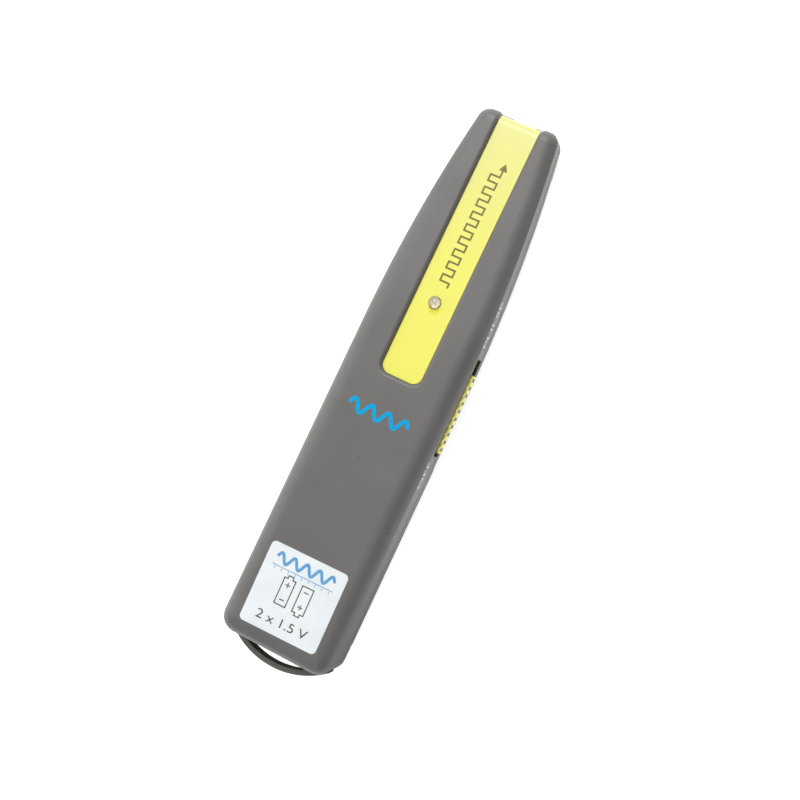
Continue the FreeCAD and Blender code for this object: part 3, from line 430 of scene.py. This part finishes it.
def filmedCell(name, nubAtNose):
    low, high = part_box(name)
    material, tree, shader, place = newMaterial("steelFilmed_" + name)
    along = addNode(tree, "SeparateXYZ", {0: place}).outputs["Y"]
    ends = (high[1], low[1]) if nubAtNose else (low[1], high[1])
    share = addNode(tree, "MapRange", {"Value": along, "From Min": ends[0],
                                       "From Max": ends[1]}).outputs["Result"]
    printed = addNode(tree, "ValToRGB", {"Fac": share}, [
        (0.0, cells["steel"]), (cells["nub"], cells["band"]), (cells["bandEnd"], cells["line"]),
        (cells["lineEnd"], cells["body"]), (cells["foot"], cells["steel"])])
    printed.color_ramp.interpolation = "CONSTANT"
    link(tree, printed.outputs["Color"], shader, "Base Color")
    bare = addNode(tree, "ValToRGB", {"Fac": share}, [(0.0, "#ffffff"), (cells["nub"], "#000000"),
                                                      (cells["foot"], "#ffffff")])
    bare.color_ramp.interpolation = "CONSTANT"
    link(tree, bare.outputs["Color"], shader, "Metallic")
    film = addNode(tree, "TexNoise", {"Vector": place, "Scale": 1 / (cells["wrinkle"] * mm), "Detail": 3.0})
    rough = addNode(tree, "MapRange", {"Value": film.outputs["Fac"], "To Min": cells["rough"][0],
                                       "To Max": cells["rough"][1]})
    link(tree, rough.outputs["Result"], shader, "Roughness")
    bump = addNode(tree, "Bump", {"Height": film.outputs["Fac"], "Distance": cells["wrinkleDepth"] * mm})
    link(tree, bump.outputs["Normal"], shader, "Normal")
    return material


dress(["battery_cell_left"], filmedCell("battery_cell_left", False))
dress(["battery_cell_right"], filmedCell("battery_cell_right", True))


# Lens and lamp: clear pieces with a faint tint that drifts. The lamp's epoxy is cast and a little hazy.
clear = {
    "glassPolished": {"nodes": ["focus_lens"], "pale": "#e6eff2", "deep": "#d6e2e8", "rough": 0.02,
                      "drift": 1.5},
    "epoxyCastHazy": {"nodes": ["indicator_led"], "pale": "#fbf8ee", "deep": "#f1ecdc", "rough": 0.06,
                      "drift": 0.5},
}


def clearCast(name, look):
    material, tree, shader, place = newMaterial(name, Roughness=look["rough"], IOR=1.5,
                                                Transmission_Weight=1.0)
    drift = addNode(tree, "TexNoise", {"Vector": place, "Scale": 1 / (look["drift"] * mm), "Detail": 2.0})
    shade = addNode(tree, "ValToRGB", {"Fac": drift.outputs["Fac"]},
                    zip(tightSpan, (look["deep"], look["pale"])))
    link(tree, shade.outputs["Color"], shader, "Base Color")
    return material


for name, look in clear.items():
    dress(look["nodes"], clearCast(name, look))


# Sticker: white vinyl film with a satin face and the slight ripple of the glue under it.
sticker = {"dark": "#e9eef1", "light": "#f1f5f7", "drift": 6.0, "rough": 0.32, "ripple": 3.5,
           "rippleDepth": 0.01}


def vinylFilm():
    material, tree, shader, place = newMaterial("vinylFilmWhite", Roughness=sticker["rough"], IOR=1.5)
    drift = addNode(tree, "TexNoise", {"Vector": place, "Scale": 1 / (sticker["drift"] * mm), "Detail": 3.0})
    shade = addNode(tree, "ValToRGB", {"Fac": drift.outputs["Fac"]},
                    zip(noiseSpan, (sticker["dark"], sticker["light"])))
    link(tree, shade.outputs["Color"], shader, "Base Color")
    ripple = addNode(tree, "TexNoise", {"Vector": place, "Scale": 1 / (sticker["ripple"] * mm),
                                        "Detail": 1.0})
    bump = addNode(tree, "Bump", {"Height": ripple.outputs["Fac"], "Distance": sticker["rippleDepth"] * mm})
    link(tree, bump.outputs["Normal"], shader, "Normal")
    return material


dress(["front_label"], vinylFilm())


# Inks: pad and screen prints, a thin satin film that is a little uneven where the mesh of the screen shows.
# The mesh is drawn coarser than the real one.
inkFilm = {"rough": 0.4, "mesh": 0.5, "meshDepth": 0.003, "span": (0.35, 0.65)}
inkLooks = {"inkOlive": ("#636200", "#6d6c06", 0.5), "inkBlue": ("#00a0da", "#04a6e0", 0.12),
            "inkSoftBlue": ("#559bd0", "#68a9da", 0.5), "inkGraphite": ("#3c3d3c", "#4a4b4a", 0.5),
            "inkWhite": ("#c8c8c4", "#d4d4d0", 0.5)}  # two shades and the gloss


def screenInk(name, dark, light, gloss):
    material, tree, shader, place = newMaterial(name, Roughness=inkFilm["rough"], IOR=1.5,
                                                Specular_IOR_Level=gloss)
    mesh = addNode(tree, "TexNoise", {"Vector": place, "Scale": 1 / (inkFilm["mesh"] * mm), "Detail": 2.0})
    shade = addNode(tree, "ValToRGB", {"Fac": mesh.outputs["Fac"]}, zip(inkFilm["span"], (dark, light)))
    link(tree, shade.outputs["Color"], shader, "Base Color")
    bump = addNode(tree, "Bump", {"Height": mesh.outputs["Fac"], "Distance": inkFilm["meshDepth"] * mm})
    link(tree, bump.outputs["Normal"], shader, "Normal")
    return material


inks = {name: screenInk(name, *look) for name, look in inkLooks.items()}
print("materials done:", len(bpy.data.materials))

inkDepth = 0.02 * mm
dropHeight = 50.0 * mm  # prints start this far out from the origin and drop onto the part


def strokes(lines, width):  # flat ribs along lines, each given as its points in mm and whether it closes
    bm = bmesh.new()
    for points, closed in lines:
        spots = [bm.verts.new((x * mm, y * mm, 0)) for x, y in points]
        for a, b in zip(spots, spots[1:] + spots[:1] if closed else spots[1:]):
            bm.edges.new((a, b))
    raised = bmesh.ops.extrude_edge_only(bm, edges=bm.edges[:])["geom"]
    tops = [part for part in raised if isinstance(part, bmesh.types.BMVert)]
    bmesh.ops.translate(bm, vec=(0, 0, inkDepth), verts=tops)
    piece = bpy.data.objects.new("strokes", bmeshOut(bm, "strokes"))
    wall = piece.modifiers.new("width", "SOLIDIFY")
    wall.thickness = width * mm
    wall.offset = 0
    wall.use_even_offset = True
    return meshOf(piece)


def word(text, height, width, weight=0.0):  # capitals or figures, height by width in mm about their middle
    data = bpy.data.curves.new("word", "FONT")
    data.body = text
    data.extrude = 0.5  # any depth, since the mesh is scaled to the ink's
    data.offset = weight
    mesh = meshOf(bpy.data.objects.new("word", data))
    low = Vector([min(v.co[i] for v in mesh.vertices) for i in range(3)])
    high = Vector([max(v.co[i] for v in mesh.vertices) for i in range(3)])
    size = high - low
    mesh.transform(Matrix.Diagonal((width * mm / size.x, height * mm / size.y, inkDepth / size.z, 1))
                   @ Matrix.Translation((-(low.x + high.x) / 2, -(low.y + high.y) / 2, -low.z)))
    return mesh


def printOn(name, mesh, carrier, plane, ink):  # drops a flat print onto its carrier along the plane's Z
    down = -plane.col[2].to_3d()
    for point in mesh.vertices:
        height = point.co.z
        start = plane @ Vector((point.co.x, point.co.y, dropHeight))
        spot, normal = nodes[carrier].ray_cast(start, down)[1:3]
        point.co = spot + normal * height
    mesh.update()
    newPiece(name, mesh, inks[ink], "housing")


def flatPlane(x, y, turn=0.0):  # a print seen from the front
    return Matrix.Translation((x * mm, y * mm, 0)) @ Matrix.Rotation(math.radians(turn), 4, "Z")


def sidePlane(y, z):  # a print on the right side that reads from the tail to the nose
    return Matrix(((0, 0, 1, 0), (1, 0, 0, y * mm), (0, 1, 0, z * mm), (0, 0, 0, 1)))


def wave(length, height, turns, steps=120):  # a sine line, in mm
    return [(length * (i / steps - 0.5), height / 2 * math.sin(math.tau * turns * i / steps))
            for i in range(steps + 1)]


# Blue wave mark on the front, below the inlay
waveMark = {"place": (-0.4, -8.0), "length": 15.8, "height": 2.9, "turns": 3.5, "stroke": 0.95}
line = wave(waveMark["length"], waveMark["height"], waveMark["turns"])
printOn("waveMark", strokes([(line, False)], waveMark["stroke"]), "front_shell",
        flatPlane(*waveMark["place"]), "inkBlue")

# Pulse line along the inlay, with an arrow head towards the port
pulse = {"place": (0, 26.2), "turn": 90, "pitch": 3.3, "pulses": 9, "height": 2.4, "stroke": 0.45,
         "lead": 1.2, "head": 1.25}
pulsePlane = flatPlane(*pulse["place"], pulse["turn"])
line = [(0, 0)]
for i in range(pulse["pulses"]):
    start = pulse["lead"] + i * pulse["pitch"]
    line += [(start, 0), (start, pulse["height"]), (start + pulse["pitch"] / 2, pulse["height"]),
             (start + pulse["pitch"] / 2, 0)]
end = pulse["lead"] + pulse["pulses"] * pulse["pitch"]
line.append((end, 0))
line = [(x, y - pulse["height"] / 2) for x, y in line]
printOn("pulseLine", strokes([(line, False)], pulse["stroke"]), "accent_strip", pulsePlane, "inkOlive")

bm = bmesh.new()
bmesh.ops.create_circle(bm, cap_ends=True, radius=pulse["head"] * mm, segments=3)
bmesh.ops.rotate(bm, matrix=Matrix.Rotation(-math.pi / 2, 3, "Z"), verts=bm.verts)
tip = Vector((end + pulse["head"] / 2, -pulse["height"] / 2, 0)) * mm
bmesh.ops.translate(bm, vec=tip, verts=bm.verts)
raised = bmesh.ops.extrude_face_region(bm, geom=bm.faces[:])["geom"]
tops = [part for part in raised if isinstance(part, bmesh.types.BMVert)]
bmesh.ops.translate(bm, vec=(0, 0, inkDepth), verts=tops)
bmesh.ops.recalc_face_normals(bm, faces=bm.faces)
printOn("pulseArrow", bmeshOut(bm, "pulseArrow"), "accent_strip", pulsePlane, "inkOlive")

# Switch legends on the right side
legends = {"height": 2.5, "weight": 0.008, "words": {  # each word with its y, its z and its width
    "legendOff": ("OFF", -16.58, 12.6, 7.05), "legendPulse": ("PULSE", 22.9, 11.1, 11.8)}}
for name, (text, y, z, width) in legends["words"].items():
    printOn(name, word(text, legends["height"], width, legends["weight"]), "front_shell", sidePlane(y, z),
            "inkWhite")

# Sticker print: a blue wave over a ruled line, two cells in outline and their voltage
labelPrint = {"turn": 1.15, "wave": (15.4, 2.3, 4.5), "waveUp": 7.2, "waveStroke": 0.75, "rule": 16.4,
              "ruleUp": 5.1, "ruleStroke": 0.18, "ticks": 9, "tick": (0.25, 0.85), "cell": (3.0, 6.6),
              "cellsUp": 0.1, "cellApart": 4.9, "cellStroke": 0.27, "nub": (1.3, 0.7), "sign": 1.3,
              "plusDown": 1.56, "minusUp": 1.3, "plusGap": 0.2, "figures": (2.25, 13.6), "figuresUp": -7.0}
low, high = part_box("front_label")
middle = [(a + b) / 2 / mm for a, b in zip(low, high)]
labelPlane = flatPlane(middle[0], middle[1], labelPrint["turn"])


def shifted(points, x, y):
    return [(a + x, b + y) for a, b in points]


def cellOutline(x, way):  # a cell with its nub up or down, and its two signs
    half, tall = labelPrint["cell"][0] / 2, labelPrint["cell"][1] / 2
    nub, rise = labelPrint["nub"][0] / 2, labelPrint["nub"][1]
    arm, gap = labelPrint["sign"] / 2, labelPrint["plusGap"]
    plus, minus = tall - labelPrint["plusDown"], labelPrint["minusUp"] - tall
    body = [(-half, -tall), (half, -tall), (half, tall), (nub, tall), (nub, tall + rise), (-nub, tall + rise),
            (-nub, tall), (-half, tall)]
    signs = [[(-arm, plus), (arm, plus)], [(0, plus + gap), (0, plus + arm)],
             [(0, plus - gap), (0, plus - arm)], [(-arm, minus), (arm, minus)]]
    lines = [(body, True)] + [(sign, False) for sign in signs]
    return [(shifted([(a, b * way) for a, b in points], x, labelPrint["cellsUp"]), closed)
            for points, closed in lines]


line = shifted(wave(*labelPrint["wave"]), 0, labelPrint["waveUp"])
printOn("labelWave", strokes([(line, False)], labelPrint["waveStroke"]), "front_label", labelPlane,
        "inkSoftBlue")
half, up = labelPrint["rule"] / 2, labelPrint["ruleUp"]
rule = [([(-half, up), (half, up)], False)]
for i in range(labelPrint["ticks"]):
    x = -half + (i + 0.5) * labelPrint["rule"] / labelPrint["ticks"]
    rule.append(([(x, up - down) for down in labelPrint["tick"]], False))
printOn("labelRule", strokes(rule, labelPrint["ruleStroke"]), "front_label", labelPlane, "inkSoftBlue")
apart = labelPrint["cellApart"] / 2
outlines = cellOutline(-apart, 1) + cellOutline(apart, -1)
printOn("labelCells", strokes(outlines, labelPrint["cellStroke"]), "front_label", labelPlane, "inkGraphite")
figuresPlane = labelPlane @ Matrix.Translation((0, labelPrint["figuresUp"] * mm, 0))
printOn("labelFigures", word("2 x 1.5 V", *labelPrint["figures"]), "front_label", figuresPlane, "inkGraphite")
print("prints done")

# Lamp's inside: a pale moulded reflector just under the dome, on the post that leads down to the board
lamp = {"top": 1.5, "radius": 1.46, "floor": 0.9, "depth": 0.15, "skirt": 0.8, "post": 0.32, "inset": 0.05,
        "steps": 32, "merge": 0.0001, "deep": "#eee4c0", "pale": "#fffaea", "speck": 0.45, "rough": 0.5}
low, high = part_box("indicator_led")
lampAxis = Vector(((low[0] + high[0]) / 2, (low[1] + high[1]) / 2, 0))
rim = high[2] / mm - lamp["top"]
foot = low[2] / mm + lamp["inset"]
profile = [(0, rim - lamp["depth"]), (lamp["floor"], rim - lamp["depth"]), (lamp["radius"], rim),
           (lamp["post"], rim - lamp["skirt"]), (lamp["post"], foot), (0, foot)]
bm = bmesh.new()
spots = [bm.verts.new((x * mm, 0, z * mm)) for x, z in profile]
edges = [bm.edges.new(pair) for pair in zip(spots, spots[1:])]
bmesh.ops.spin(bm, geom=spots + edges, cent=(0, 0, 0), axis=(0, 0, 1), angle=math.tau, steps=lamp["steps"],
               use_merge=True)
bmesh.ops.remove_doubles(bm, verts=bm.verts, dist=lamp["merge"] * mm)
bmesh.ops.recalc_face_normals(bm, faces=bm.faces)
bmesh.ops.translate(bm, vec=lampAxis, verts=bm.verts)
for face in bm.faces:
    face.smooth = True
material, tree, shader, place = newMaterial("nylonMouldedCream", Roughness=lamp["rough"], IOR=1.5)
speck = addNode(tree, "TexNoise", {"Vector": place, "Scale": 1 / (lamp["speck"] * mm), "Detail": 2.0})
shade = addNode(tree, "ValToRGB", {"Fac": speck.outputs["Fac"]}, zip(tightSpan, (lamp["deep"], lamp["pale"])))
link(tree, shade.outputs["Color"], shader, "Base Color")
newPiece("ledCup", bmeshOut(bm, "ledCup"), material, "housing")
print("lamp done")

# Light table: a pale floor of lit opal acrylic, so that it stays white beside the part
studio = {"floorColour": "#f2f2f2", "floorSize": 4.0, "floorDrop": 0.03, "floorGlow": 0.86,
          "floorRough": 0.6, "backdrop": ((0.0, "#e6e6e6"), (0.06, "#e6e6e6"), (0.2, "#262626")),
          "aim": (0, 0.03, 0), "softboxes": {
              "keySoftbox": {"place": (-0.16, 0.30, 0.42), "size": 0.35, "power": 1.19},
              "noseSoftbox": {"place": (-0.14, 0.5, 0.5), "size": 0.4, "power": 2.43},
              "overheadPanel": {"place": (-0.1, 0, 0.6), "size": 0.6, "power": 0.74},
              "leftFill": {"place": (-0.5, 0, 0.3), "size": 0.4, "power": 1.14},
              "tailFill": {"place": (0.08, -0.5, 0.4), "size": 0.4, "power": 1.0}}}

bm = bmesh.new()
bmesh.ops.create_grid(bm, x_segments=1, y_segments=1, size=studio["floorSize"] / 2,
                      matrix=Matrix.Translation((0, 0, -studio["floorDrop"] * mm)))
floor = bpy.data.objects.new("floor", bmeshOut(bm, "floor"))
bpy.context.scene.collection.objects.link(floor)
white = linear(studio["floorColour"])
floor.data.materials.append(newMaterial("acrylicOpal", Roughness=studio["floorRough"], Base_Color=white,
                                        Emission_Color=white, Emission_Strength=studio["floorGlow"])[0])

# A pale backdrop stands round the table. The room above it is dim.
world = bpy.data.worlds.new("studioSky")
bpy.context.scene.world = world
world.use_nodes = True
tree = world.node_tree
height = addNode(tree, "SeparateXYZ", {0: addNode(tree, "TexCoord").outputs["Generated"]}).outputs["Z"]
shade = addNode(tree, "ValToRGB", {"Fac": height}, studio["backdrop"])
tree.links.new(shade.outputs["Color"], tree.nodes["Background"].inputs["Color"])

for name, box in studio["softboxes"].items():
    light = bpy.data.lights.new(name, "AREA")
    light.shape = "SQUARE"
    light.size = box["size"]
    light.energy = box["power"]
    softbox = bpy.data.objects.new(name, light)
    bpy.context.scene.collection.objects.link(softbox)
    softbox.location = box["place"]
    toAim = Vector(studio["aim"]) - Vector(box["place"])
    softbox.rotation_euler = toAim.to_track_quat("-Z", "Y").to_euler()

# Camera: millimetres and degrees, turned about its own axes from looking straight down
shot = {"lens": 61.5, "sensor": 36.0, "place": (75.5, 10.94, 332.08), "tip": -2.278, "lean": 12.96,
        "nod": -0.16, "spin": 25.41}
lensData = bpy.data.cameras.new("camera")
lensData.lens = shot["lens"]
lensData.sensor_width = shot["sensor"]
camera = bpy.data.objects.new("camera", lensData)
bpy.context.scene.collection.objects.link(camera)
turn = Matrix.Identity(4)
for angle, axis in (("tip", "X"), ("lean", "Y"), ("nod", "X"), ("spin", "Z")):
    turn = turn @ Matrix.Rotation(math.radians(shot[angle]), 4, axis)
camera.matrix_world = Matrix.Translation(Vector(shot["place"]) * mm) @ turn
bpy.context.scene.camera = camera
bpy.context.scene.view_settings.view_transform = "Standard"
print("stage done")

bpy.context.view_layer.update()
